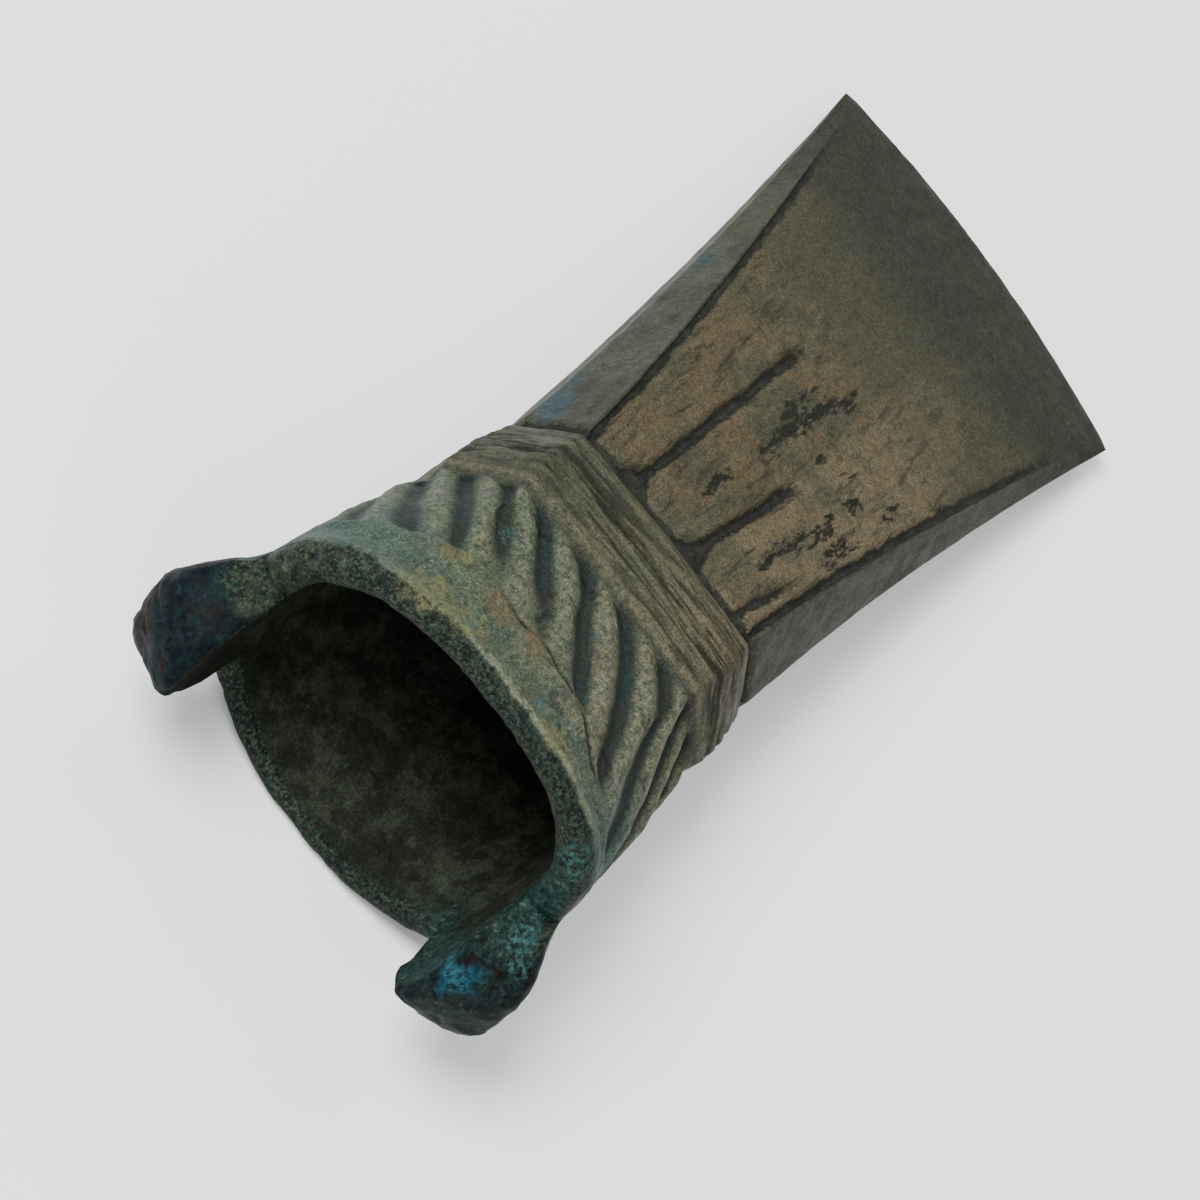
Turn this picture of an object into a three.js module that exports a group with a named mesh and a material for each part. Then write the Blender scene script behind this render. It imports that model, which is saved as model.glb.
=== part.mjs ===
// A bronze age socketed axe head, cast in one piece and lying on its back face.
// Millimetres, +Z up, +X from the mouth of the socket towards the cutting edge.
// The surface is worked out in the axe's own directions and then laid down:
//   a  along the axe, 0 at the lip of the socket
//   w  across the blade
//   n  from the back face to the front face
//   g  the place round the section in 12 steps: 0 mid front, 3 and -3 mid side, 6 mid back
import * as THREE from "three";

// Outline of the body
const bladeReach = 118; // lip of the socket to the middle of the cutting edge
const edgeWidth = 52.8; // between the corners of the cutting edge
const edgeBow = 2.6; // how far the cutting edge stands out between its corners
const edgeSkew = 1.1; // one corner of the cutting edge reaches this much further
const edgeThickness = 0.7;
const mouthWidth = 48.2; // outside, without the lugs
const mouthDepth = 40.2;
const mouthShift = -0.5; // sideways, from the middle of the blade
const neckWidth = 41.4; // where the fluted neck meets the band
const neckDepth = 32;
const waistWidth = 39.2; // narrowest part of the blade, above the band
const waistDepth = 30.2;
const faceCrown = 0.5; // how much the front face of the blade rises to its middle, near the band
const roundLength = 5; // the mouth keeps its round corners for this length

// Band round the neck
const bandStart = 24; // from the lip of the socket
const bandLength = 12;
const bandNarrowing = 2.6; // the band is this much shorter at one narrow side
const bandRise = 0.9;
const bandLines = 5;
const bandLineDepth = 0.2;

// Flutes that slant round the neck
const fluteCount = 25;
const fluteDepth = 0.95;
const fluteSweep = 0.092; // steps of g that a flute leans over its first millimetre
const fluteTuck = 0.2; // the flutes start this far under the edge of the band
const fluteTurn = 0.2; // turns the flutes as a set round the neck
const fluteStart = 1.1; // length over which a flute sinks in beside the band
const fluteEnd = 1.6; // length over which it runs out towards the lip
const lipLengthLeft = 9.8; // plain lip between the flutes and the mouth
const lipLengthRight = 3.6;

// Flat panel on each face of the blade, with three raised tongues on the front
const panelWidthAtBand = 28.4;
const panelWidthAtEdge = 50.4;
const panelGroove = 2.4; // width of the grooves round the panel and between the tongues
const grooveDepth = 0.85;
const borderInset = 0.5; // middle of the border groove, in from the edge of the panel
const borderFade = 20; // length over which the border groove runs out near the cutting edge
const shoulderGroove = 2.4; // width of the groove along the band
const tongueGrooves = [
  { start: -6.7, drift: 0.012, length: 42 },
  { start: 2.8, drift: 0.09, length: 25 },
];
const tongueRound = 4.6; // radius at the corners of the tongues
const tongueFade = 6; // length over which a groove between tongues runs out
const wedgeLength = 13; // small facet beside the last tongue
const wedgeWidth = 0.9;

// Socket
const socketDepth = 72;
const lipWall = 2.3; // at the front and the back of the mouth
const sideWall = 4.4; // at the narrow sides of the mouth
const socketFloorWidth = 26;
const socketFloorDepth = 6;

// Lugs at the narrow sides of the mouth
const lugReach = 12.6; // out of the mouth along the socket wall, up to its rounded end
const lugSlope = 5.2; // its outer side ends this much earlier
const lugSpan = 17.2; // from front to back
const lugCentre = -4.1; // towards the back
const lugBulge = 4.7; // how far it stands out beside the neck
const lugRoot = 2.6; // behind the lip, where it runs out into the neck
const lugRound = 3.2; // height of its rounded end
const lipSlants = { front: 0.8, back: -0.2 }; // from its middle to a lug, the lip drops by this much
const lipScoop = 1.75; // hollow of the lip at the back, beside the lugs
const scoopReach = 17; // from the middle of the back to the deepest part of the hollow
const lipFade = 11; // behind the lip, where its slant, hollow and lugs have levelled out

const restWear = 0.15; // worn off where it rests on its back

// Shapes of the curves, as powers: 1 is straight
const neckWidthPower = 1.8;
const neckDepthPower = 1.15;
const bladeWidthPower = 1.72;
const bladeDepthPowers = [1.2, 0.92];
const panelWidthPower = 1.25;
const mouthPower = 2.9; // 2 is an oval mouth, more is squarer
const flutePower = 0.8; // how quickly a flute straightens towards the mouth
const fluteValleyPower = 1.7; // 2 makes the valleys as wide as the ridges
const bandPower = 0.55;
const lugPowers = [3, 0.55];
const socketPowers = [1.25, 1.1];

// Shares that have no size of their own
const sideShare = 0.42; // of the depth, taken by the flat narrow side
const leftRoundness = 0.06; // roundness of the corners at the band
const lugZone = 0.6; // of the half width of the mouth, from where a lug may start
const places = { round: 12, panelCorner: 1, bevelCorner: 2, midSide: 3 };

// Columns of the mesh in each stretch of the section, and rows in each stretch of its length
const columnsOf = { frontPanel: 28, frontBevel: 7, side: 8, backBevel: 7, backPanel: 14 };
const rowsOf = { lip: 8, flutes: 11, band: 10, shoulder: 5, blade: 12, rim: 6, socket: 5 };
const shoulderLength = 5;

const bandEnd = bandStart + bandLength;
const midBack = places.round / 2;

const mix = (from, to, share) => from + (to - from) * share;
const clamp = (x) => Math.min(1, Math.max(0, x));
const smooth = (x) => clamp(x) ** 2 * (3 - 2 * clamp(x));
const hump = (x) => (1 - Math.min(1, x * x)) ** 2;
const alongBlade = (a) => clamp((a - bandEnd) / (bladeReach - bandEnd));
const wrap = (g) => (g > midBack ? g - places.round : g);

// Half width, half depth and half width of the panel at a distance along the axe
function halfWidth(a) {
  if (a < bandStart) return mix(mouthWidth, neckWidth, clamp(a / bandStart) ** neckWidthPower) / 2;
  if (a < bandEnd) return mix(neckWidth, waistWidth, smooth((a - bandStart) / bandLength)) / 2;
  return mix(waistWidth, edgeWidth, alongBlade(a) ** bladeWidthPower) / 2;
}

function halfDepth(a) {
  if (a < bandStart) return mix(neckDepth, mouthDepth, (1 - clamp(a / bandStart)) ** neckDepthPower) / 2;
  if (a < bandEnd) return mix(neckDepth, waistDepth, smooth((a - bandStart) / bandLength)) / 2;
  const [start, end] = bladeDepthPowers;
  return mix(edgeThickness, waistDepth, (1 - alongBlade(a) ** start) ** end) / 2;
}

function halfPanel(a) {
  return mix(panelWidthAtBand, panelWidthAtEdge, alongBlade(a) ** panelWidthPower) / 2;
}

// The plain section: eight-sided at the band and the blade, round-cornered at the mouth
function section(a, g) {
  const turn = wrap(g);
  const front = Math.abs(turn) <= places.midSide;
  const place = front ? Math.abs(turn) : midBack - Math.abs(turn);
  const width = halfWidth(a);
  const depth = halfDepth(a);
  const panel = halfPanel(a);
  const side = sideShare * depth;
  const crown = front ? faceCrown * (depth / (waistDepth / 2)) * smooth(a / bandEnd) : 0;
  let w = width;
  let n = side * (places.midSide - place);
  if (place <= places.panelCorner) {
    w = (panelWidthAtBand / 2) * place + (panel - panelWidthAtBand / 2) * place ** 3;
    n = depth - crown * place ** 2;
  } else if (place <= places.bevelCorner) {
    w = mix(panel, width, place - places.panelCorner);
    n = mix(depth - crown, side, place - places.panelCorner);
  }
  const reach = ((w / width) ** mouthPower + (n / depth) ** mouthPower) ** (-1 / mouthPower);
  const roundness = mix(1, leftRoundness, smooth((a - roundLength) / (bandStart - roundLength)));
  const scale = mix(1, reach, roundness);
  const shift = mouthShift * (1 - smooth(a / bandStart));
  return [Math.sign(turn) * w * scale + shift, (front ? 1 : -1) * n * scale];
}

// Direction square to the section
function outward(a, g) {
  const step = 0.02;
  const [w0, n0] = section(a, (g - step + places.round) % places.round);
  const [w1, n1] = section(a, (g + step) % places.round);
  const length = Math.hypot(w1 - w0, n1 - n0);
  return [(n0 - n1) / length, (w1 - w0) / length];
}

// Length of the plain lip: shorter from the front's middle round to one narrow side
function lipLength(g) {
  const turn = wrap(g);
  if (turn < 0) return lipLengthLeft;
  const shorter = smooth((turn - 0.1) / 1.45) - smooth((turn - 4) / 2);
  return mix(lipLengthLeft, lipLengthRight, shorter);
}

// The edge of the band, which swings in at one narrow side
const bandEdge = (g) => bandStart + bandNarrowing * hump((wrap(g) - 2.6) / 1.9);

// How far round a flute has leant at a distance along the axe
const leanPower = (a) => (bandStart - Math.min(a, bandStart) + fluteTuck) ** flutePower;
const fluteLean = (a) => fluteSweep * (leanPower(a) - leanPower(bandStart));

// Relief, as a height above the plain section
function fluteRelief(a, g) {
  const phase = ((g - fluteLean(a) - fluteTurn) * fluteCount) / places.round;
  const valley = 1 - Math.abs(Math.sin(Math.PI * phase)) ** fluteValleyPower;
  const fade = smooth((bandEdge(g) - a) / fluteStart) * smooth((a - lipLength(g)) / fluteEnd);
  return -fluteDepth * valley * fade;
}

function bandRelief(a, g) {
  const along = (a - bandEdge(g)) / (bandEnd - bandEdge(g));
  if (along <= 0 || along >= 1) return 0;
  const towardsBack = Math.abs(wrap(g)) / midBack;
  const lined = 4 * along * (1 - along) * (1 - smooth((towardsBack - 0.73) * 10)); // the back is smooth
  const lines = (1 + Math.cos(2 * Math.PI * bandLines * along)) / 2;
  return bandRise * Math.sin(Math.PI * along) ** bandPower - bandLineDepth * lines * lined;
}

function panelRelief(a, w, g) {
  const turn = Math.abs(wrap(g));
  const past = a - bandEnd;
  const half = panelGroove / 2;
  const halfShoulder = shoulderGroove / 2;
  const shoulder = mix(0.15, 0.7, smooth(turn - 0.5)) * halfShoulder; // nearer to the band on the front
  let groove = hump((past - shoulder) / halfShoulder);
  if (past <= 0) return -grooveDepth * groove;
  if (turn <= places.panelCorner || turn >= midBack - places.panelCorner) {
    const border = hump((halfPanel(a) - borderInset - Math.abs(w)) / half);
    groove = Math.max(groove, border * smooth((bladeReach - a) / borderFade - 0.2));
  }
  if (turn <= places.panelCorner) {
    const short = Math.max(0, tongueRound - past);
    const corner = tongueRound - Math.sqrt(tongueRound ** 2 - short ** 2);
    for (const line of tongueGrooves) {
      const off = Math.abs(w - line.start - line.drift * past);
      const fade = smooth((line.length - past) / tongueFade);
      groove = Math.max(groove, hump(Math.max(0, off - corner) / half) * fade);
    }
    const facet = halfPanel(a) - panelGroove - wedgeWidth * (1 - past / wedgeLength);
    const wedge = hump((w - facet) / half) * smooth((4 * (wedgeLength - past)) / wedgeLength);
    groove = Math.max(groove, 0.8 * wedge);
  }
  const thin = (halfDepth(a) / (waistDepth / 2)) ** 0.25;
  return -grooveDepth * groove * thin;
}

// The lugs, as a share of their full size at a point of the lip
function lugAt(w, n) {
  const off = Math.abs(n - lugCentre) / (lugSpan / 2);
  if (off >= 1 || Math.abs(w) < (lugZone * mouthWidth) / 2) return 0;
  return (1 - off ** lugPowers[0]) ** lugPowers[1];
}

// How far the lip lies back from the level of its middle
function lipShift(w, n, reach) {
  const slant = (mix(lipSlants.back, lipSlants.front, smooth(0.5 + n / mouthDepth)) * w) / (mouthWidth / 2);
  const scoop = n < 0 ? lipScoop * Math.min(1, Math.abs(w) / scoopReach) ** 2 : 0;
  return slant + scoop - (reach + slant + scoop) * lugAt(w, n);
}

// A point of the outside
function outside(row, g) {
  const [w0, n0] = section(0, g);
  const outerReach = lugReach - lugSlope;
  const a = row + lipShift(w0, n0, outerReach) * (1 - smooth(row / lipFade));
  const [w, n] = section(Math.max(0, a), g);
  const [outW, outN] = outward(Math.max(0, a), g);
  const bulge = lugBulge * lugAt(w0, n0) * hump(Math.max(0, a + outerReach) / (outerReach + lugRoot));
  const height = fluteRelief(a, g) + bandRelief(a, g) + panelRelief(a, w, g) + bulge;
  const across = (2 * w) / edgeWidth;
  const bow = (edgeBow * across ** 2 + edgeSkew * across) * smooth(alongBlade(a));
  return [a - bow, w + outW * height, n + outN * height];
}

// A point of the socket wall, from the mouth at 0 to the floor at 1
function inside(share, g) {
  const [w0, n0] = section(0, g);
  const a = mix(lipShift(w0, n0, lugReach), socketDepth, share);
  const down = clamp(a / socketDepth);
  const width = mix(mouthWidth / 2 - sideWall, socketFloorWidth / 2, down ** socketPowers[0]);
  const depth = mix(mouthDepth / 2 - lipWall, socketFloorDepth / 2, down ** socketPowers[1]);
  const shift = mouthShift * (1 - down);
  return [a, ((w0 - mouthShift) / (mouthWidth / 2)) * width + shift, (n0 / (mouthDepth / 2)) * depth];
}

// Rounded rim between the outside and the socket wall
function rim(share, g) {
  const outer = outside(0, g);
  const inner = inside(0, g);
  const thickness = Math.hypot(outer[1] - inner[1], outer[2] - inner[2]);
  const rise = Math.min(0.4 * thickness, lugRound);
  const angle = Math.PI * share;
  const across = (1 - Math.cos(angle)) / 2;
  const [a, w, n] = inner.map((from, i) => mix(from, outer[i], across));
  return [a - rise * Math.sin(angle) ** 0.85, w, n];
}

// Columns round the section, starting at the middle of one narrow side
const columns = [];
function addColumns(from, to, count) {
  for (let i = 0; i < count; i++) columns.push((mix(from, to, i / count) + places.round) % places.round);
}
addColumns(-3, -2, columnsOf.side / 2);
addColumns(-2, -1, columnsOf.frontBevel);
addColumns(-1, 1, columnsOf.frontPanel);
addColumns(1, 2, columnsOf.frontBevel);
addColumns(2, 4, columnsOf.side);
addColumns(4, 5, columnsOf.backBevel);
addColumns(5, 7, columnsOf.backPanel);
addColumns(7, 8, columnsOf.backBevel);
addColumns(8, 9, columnsOf.side / 2);

// Rows along the axe, closer where there is relief
const rows = [];
function addRows(from, to, count, place = (share) => mix(from, to, share)) {
  for (let i = 0; i < count; i++) rows.push(place(i / count));
}
// Flute rows are as far apart as the flutes lean between them
function fluteRow(share) {
  const power = mix(leanPower(lipLengthLeft), leanPower(bandStart), share);
  return bandStart + fluteTuck - power ** (1 / flutePower);
}
addRows(0, lipLengthLeft, rowsOf.lip);
addRows(lipLengthLeft, bandStart, rowsOf.flutes, fluteRow);
addRows(bandStart, bandEnd, rowsOf.band);
addRows(bandEnd, bandEnd + shoulderLength, rowsOf.shoulder);
addRows(bandEnd + shoulderLength, bladeReach, rowsOf.blade);
rows.push(bladeReach);

// Rings from the floor of the socket out over the rim and on to the cutting edge
// The columns follow the flutes, so at the mouth they have all leant round the section
const leant = (g, a) => (g + fluteLean(a) + places.round) % places.round;
const rings = [];
for (let i = rowsOf.socket; i > 0; i--) {
  const share = (i / rowsOf.socket) ** 1.3;
  rings.push(columns.map((g) => inside(share, leant(g, 0))));
}
for (let i = 0; i < rowsOf.rim; i++) rings.push(columns.map((g) => rim(i / rowsOf.rim, leant(g, 0))));
for (const row of rows) rings.push(columns.map((g) => outside(row, leant(g, row))));

// Laid on its back: it rests on the band and on the swell of the blade, both worn a little flat
const spine = rows.filter((row) => row >= bandStart).map((row) => outside(row, midBack));
const slope = (near, far) => (far[2] - near[2]) / (far[0] - near[0]);
const onBand = spine.filter(([a]) => a < bandEnd);
const onBlade = spine.filter(([a]) => a > bandEnd + shoulderLength);
const slopesTo = (far) => Math.max(...onBand.map((near) => slope(near, far)));
const tilt = Math.atan(Math.min(...onBlade.map(slopesTo)));
const lowest = Math.min(...spine.map(([a, , n]) => n * Math.cos(tilt) - a * Math.sin(tilt)));
const floorLevel = -lowest - restWear;

function laidDown([a, w, n]) {
  const x = a * Math.cos(tilt) + n * Math.sin(tilt);
  const z = n * Math.cos(tilt) - a * Math.sin(tilt) + floorLevel;
  return [x, -w, Math.max(0, z)];
}

const positions = rings.flat().flatMap(laidDown);
const indices = [];
const round = columns.length;
for (let ring = 0; ring + 1 < rings.length; ring++) {
  for (let column = 0; column < round; column++) {
    const here = ring * round + column;
    const beside = ring * round + ((column + 1) % round);
    indices.push(here, beside, here + round);
    indices.push(beside, beside + round, here + round);
  }
}

// Closes a ring with a strip between its front half and its back half
function closeRing(ring, facing) {
  const frontCount = columnsOf.side + 2 * columnsOf.frontBevel + columnsOf.frontPanel;
  const backCount = round - frontCount;
  const first = ring * round;
  let front = 0;
  let back = 0;
  while (front < frontCount || back < backCount) {
    const nearFront = first + front;
    const nearBack = first + ((round - back) % round);
    const stepFront = back === backCount || (front < frontCount && front / frontCount <= back / backCount);
    const next = stepFront ? nearFront + 1 : first + round - back - 1;
    const triangle = facing > 0 ? [nearFront, nearBack, next] : [nearFront, next, nearBack];
    if (new Set(triangle).size === 3) indices.push(...triangle);
    if (stepFront) front++;
    else back++;
  }
}
closeRing(0, 1);
closeRing(rings.length - 1, -1);

const surface = new THREE.BufferGeometry();
surface.setAttribute("position", new THREE.Float32BufferAttribute(positions, 3));
surface.setIndex(indices);
surface.computeVertexNormals();
surface.computeBoundingBox();
const middle = surface.boundingBox.getCenter(new THREE.Vector3());

const bronze = new THREE.MeshStandardMaterial({ color: 0x565a48, roughness: 0.6, metalness: 0.5 });
const axeHead = new THREE.Mesh(surface, bronze);
axeHead.name = "axe_head";
axeHead.position.set(-middle.x, -middle.y, 0);

const part = new THREE.Group();
part.add(axeHead);

export default part;
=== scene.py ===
import math

import bpy
import numpy as np
from mathutils import Matrix, Vector


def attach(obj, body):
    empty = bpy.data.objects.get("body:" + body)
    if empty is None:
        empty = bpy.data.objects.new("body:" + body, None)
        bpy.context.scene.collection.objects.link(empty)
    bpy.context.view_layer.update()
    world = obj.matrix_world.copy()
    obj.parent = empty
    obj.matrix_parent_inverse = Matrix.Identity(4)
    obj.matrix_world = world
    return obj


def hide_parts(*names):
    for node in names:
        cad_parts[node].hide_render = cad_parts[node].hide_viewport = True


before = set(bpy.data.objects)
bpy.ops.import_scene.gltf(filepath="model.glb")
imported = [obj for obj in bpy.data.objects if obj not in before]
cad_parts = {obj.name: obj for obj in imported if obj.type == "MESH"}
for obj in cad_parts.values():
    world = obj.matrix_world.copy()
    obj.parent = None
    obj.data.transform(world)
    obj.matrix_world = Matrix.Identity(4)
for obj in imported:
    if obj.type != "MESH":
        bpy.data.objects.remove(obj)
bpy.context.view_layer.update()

MM = 0.001

# Sizes in metres, as in the part
# a runs along the axe from the lip of the socket, w across it, n from its back to its front
# g is the place round the section in 12 steps: 0 mid front, 3 and -3 mid side, 6 mid back
BLADE_REACH = 0.118
EDGE_WIDTH = 0.0528
EDGE_BOW = 0.0026
EDGE_SKEW = 0.0011
EDGE_THICKNESS = 0.0007
MOUTH_WIDTH = 0.0482
MOUTH_DEPTH = 0.0402
MOUTH_SHIFT = -0.0005
NECK_WIDTH = 0.0414
NECK_DEPTH = 0.032
WAIST_WIDTH = 0.0392
WAIST_DEPTH = 0.0302
FACE_CROWN = 0.0005
ROUND_LENGTH = 0.005
BAND_START = 0.024
BAND_END = 0.036
BAND_NARROWING = 0.0026
BAND_RISE = 0.0009
BAND_LINES = 5
BAND_LINE_DEPTH = 0.0002
FLUTE_COUNT = 25
FLUTE_DEPTH = 0.00095
FLUTE_SWEEP = 0.092
FLUTE_POWER = 0.8
FLUTE_TUCK = 0.0002
FLUTE_TURN = 0.2
FLUTE_START = 0.0006
FLUTE_END = 0.0016
LIP_LENGTH_LEFT = 0.0098
LIP_LENGTH_RIGHT = 0.0036
LIP_SHORTENING = 0.0048
PANEL_WIDTH_AT_BAND = 0.0284
PANEL_WIDTH_AT_EDGE = 0.0504
PANEL_GROOVE = 0.0024
GROOVE_DEPTH = 0.00085
BORDER_INSET = 0.0005
BORDER_FADE = 0.02
SHOULDER_GROOVE = 0.0024
TONGUE_GROOVES = [(-0.0067, 0.012, 0.042), (0.0028, 0.09, 0.025)]
TONGUE_ROUND = 0.0046
TONGUE_FADE = 0.006
WEDGE_LENGTH = 0.013
WEDGE_WIDTH = 0.0009
SOCKET_DEPTH = 0.072
LIP_WALL = 0.0023
SIDE_WALL = 0.0044
SOCKET_FLOOR_WIDTH = 0.026
SOCKET_FLOOR_DEPTH = 0.006
LUG_REACH = 0.0126
LUG_SLOPE = 0.0052
LUG_SPAN = 0.0172
LUG_CENTRE = -0.0041
LUG_BULGE = 0.0047
LUG_ROUND = 0.0032
LUG_ROOT = 0.0026
LIP_SLANTS = (-0.0002, 0.0008)
LIP_SCOOP = 0.00175
SCOOP_REACH = 0.017
LIP_FADE = 0.011
SIDE_SHARE = 0.42
SUPERELLIPSE = 2.9
STEPS_ROUND = 12

# How the axe head lies: the middle of its mouth, and the slope of its length
MOUTH_PLACE = (-0.05107, -0.00051, 0.02057)
TILT = math.radians(8.499)

# Points of the mesh round the section and along the axe
POINTS_ROUND = {"front panel": 112, "front bevel": 30, "side": 44, "back bevel": 22, "back panel": 48}
ROWS = {"socket": 26, "rim": 16, "lip": 34, "flutes": 56, "band": 46, "shoulder": 14, "blade": 86}
SHOULDER_LENGTH = 0.005

# The camera, from the photograph
CAMERA_PLACE = Vector((-0.29959, 0.01997, 0.45244))
CAMERA_RIGHT = Vector((0.64780, -0.61381, 0.45121))
CAMERA_UP = Vector((0.53303, 0.78837, 0.30719))
CAMERA_LENS = 144
SENSOR_WIDTH = 36


def mix(low, high, share):
    return low + (high - low) * share


def clamp(x):
    return np.clip(x, 0, 1)


def smooth(x):
    return clamp(x) ** 2 * (3 - 2 * clamp(x))


def hump(x):
    return (1 - np.minimum(1, x * x)) ** 2


# The plain form

def half_width(a):
    neck = mix(MOUTH_WIDTH, NECK_WIDTH, clamp(a / BAND_START) ** 1.8)
    band = mix(NECK_WIDTH, WAIST_WIDTH, smooth((a - BAND_START) / (BAND_END - BAND_START)))
    blade = mix(WAIST_WIDTH, EDGE_WIDTH, clamp((a - BAND_END) / (BLADE_REACH - BAND_END)) ** 1.72)
    return np.where(a < BAND_START, neck, np.where(a < BAND_END, band, blade)) / 2


def half_depth(a):
    along = clamp((a - BAND_END) / (BLADE_REACH - BAND_END))
    neck = mix(NECK_DEPTH, MOUTH_DEPTH, (1 - clamp(a / BAND_START)) ** 1.15)
    band = mix(NECK_DEPTH, WAIST_DEPTH, smooth((a - BAND_START) / (BAND_END - BAND_START)))
    blade = mix(EDGE_THICKNESS, WAIST_DEPTH, (1 - along ** 1.2) ** 0.92)
    return np.where(a < BAND_START, neck, np.where(a < BAND_END, band, blade)) / 2


def half_panel(a):
    along = clamp((a - BAND_END) / (BLADE_REACH - BAND_END))
    return mix(PANEL_WIDTH_AT_BAND, PANEL_WIDTH_AT_EDGE, along ** 1.25) / 2


def wrap(g):
    return np.where(g > STEPS_ROUND / 2, g - STEPS_ROUND, g)


def section(a, g):
    """The plain section: eight-sided at the band and the blade, round-cornered at the mouth."""
    turn = wrap(g)
    front = np.abs(turn) <= 3
    place = np.where(front, np.abs(turn), 6 - np.abs(turn))
    width = half_width(a)
    depth = half_depth(a)
    panel = half_panel(a)
    side = SIDE_SHARE * depth
    crown = np.where(front, FACE_CROWN * (depth / (WAIST_DEPTH / 2)) * smooth(a / BAND_END), 0)
    narrow = PANEL_WIDTH_AT_BAND / 2
    w = np.where(place <= 1, narrow * place + (panel - narrow) * place ** 3, mix(panel, width, place - 1))
    w = np.where(place > 2, width, w)
    n = np.where(place <= 1, depth - crown * place ** 2, mix(depth - crown, side, place - 1))
    n = np.where(place > 2, side * (3 - place), n)
    reach = ((w / width) ** SUPERELLIPSE + (np.abs(n) / depth) ** SUPERELLIPSE) ** (-1 / SUPERELLIPSE)
    roundness = mix(1, 0.06, smooth((a - ROUND_LENGTH) / (BAND_START - ROUND_LENGTH)))
    scale = mix(1, reach, roundness)
    shift = MOUTH_SHIFT * (1 - smooth(a / BAND_START))
    return np.sign(turn) * w * scale + shift, np.where(front, 1, -1) * n * scale


def outward(a, g):
    step = 0.02
    w0, n0 = section(a, (g - step) % STEPS_ROUND)
    w1, n1 = section(a, (g + step) % STEPS_ROUND)
    length = np.hypot(w1 - w0, n1 - n0)
    return (n0 - n1) / length, (w1 - w0) / length


# Relief

def lip_length(g):
    turn = wrap(g)
    across = smooth((turn - 0.1) / 1.45) - smooth((turn - 4) / 2)
    left = LIP_LENGTH_LEFT - LIP_SHORTENING * hump((turn + 1.9) / 1.2)
    return np.where(turn >= 0, mix(LIP_LENGTH_LEFT, LIP_LENGTH_RIGHT, across), left)


def flute_lean(a):
    below = (BAND_START - np.minimum(a, BAND_START) + FLUTE_TUCK) / MM
    return FLUTE_SWEEP * (below ** FLUTE_POWER - (FLUTE_TUCK / MM) ** FLUTE_POWER)


def band_edge(g):
    return BAND_START + BAND_NARROWING * hump((wrap(g) - 2.6) / 1.9)


def flute_valley(a, g):
    """1 at the bottom of a valley, 0 on the crest between two."""
    wander = 0.03 * np.sin(5 * g + 1) + 0.02 * np.sin(11 * g)
    phase = (g - flute_lean(a) - FLUTE_TURN) * FLUTE_COUNT / STEPS_ROUND + wander
    valley = 1 - np.abs(np.sin(np.pi * phase)) ** 1.8
    fade = smooth((band_edge(g) - a) / FLUTE_START) * smooth((a - lip_length(g)) / FLUTE_END)
    worn = hump((wrap(g) + 0.45) / 0.8) * hump((a - 11 * MM) / (6.5 * MM))
    return valley * fade * (1 - 0.6 * worn)


def band_relief(a, g):
    """Height of the band, and how deep its lines are."""
    along = clamp((a - band_edge(g)) / (BAND_END - band_edge(g)))
    waver = 0.06 * np.sin(2.3 * g + 0.7) + 0.03 * np.sin(7 * g) + 0.02 * np.sin(19 * g + 2)
    lines = ((1 + np.cos(2 * np.pi * BAND_LINES * (along + waver * np.sin(np.pi * along)))) / 2) ** 2
    lines = lines * 4 * along * (1 - along) * (1 - smooth((np.abs(wrap(g)) - 4.4) / 0.6))
    return BAND_RISE * np.sin(np.pi * along) ** 0.55, lines


def panel_groove(a, w, turn):
    """1 along the grooves round the panels and between the tongues."""
    past = a - BAND_END
    half = PANEL_GROOVE / 2
    half_shoulder = SHOULDER_GROOVE / 2
    shoulder = mix(0.15, 0.7, smooth(turn - 0.5)) * half_shoulder
    along_band = hump((past - shoulder) / half_shoulder)
    groove = along_band
    border = hump((half_panel(a) - BORDER_INSET - np.abs(w)) / half)
    border = border * smooth((BLADE_REACH - a) / BORDER_FADE - 0.2)
    groove = np.where((turn <= 1) | (turn >= 5), np.maximum(groove, border), groove)
    short = np.clip(TONGUE_ROUND - past, 0, TONGUE_ROUND)
    corner = TONGUE_ROUND - np.sqrt(TONGUE_ROUND ** 2 - short ** 2)
    for start, drift, length in TONGUE_GROOVES:
        off = np.abs(w - start - drift * past)
        line = hump(np.maximum(0, off - corner) / half) * smooth((length - past) / TONGUE_FADE)
        groove = np.where(turn <= 1, np.maximum(groove, line), groove)
    facet = half_panel(a) - PANEL_GROOVE - WEDGE_WIDTH * (1 - past / WEDGE_LENGTH)
    line = 0.8 * hump((w - facet) / half) * smooth(4 * (WEDGE_LENGTH - past) / WEDGE_LENGTH)
    groove = np.where(turn <= 1, np.maximum(groove, line), groove)
    return np.where(past > 0, groove, along_band)


# The lugs and the mouth

def lug_at(w, n):
    off = np.minimum(1, np.abs(n - LUG_CENTRE) / (LUG_SPAN / 2))
    return np.where(np.abs(w) > 0.6 * MOUTH_WIDTH / 2, (1 - off ** 3) ** 0.55, 0)


def lip_shift(w, n, reach):
    slant = mix(*LIP_SLANTS, smooth(0.5 + n / MOUTH_DEPTH)) * w / (MOUTH_WIDTH / 2)
    scoop = np.where(n < 0, LIP_SCOOP * np.minimum(1, np.abs(w) / SCOOP_REACH) ** 2, 0)
    return slant + scoop - (reach + slant + scoop) * lug_at(w, n)


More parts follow.
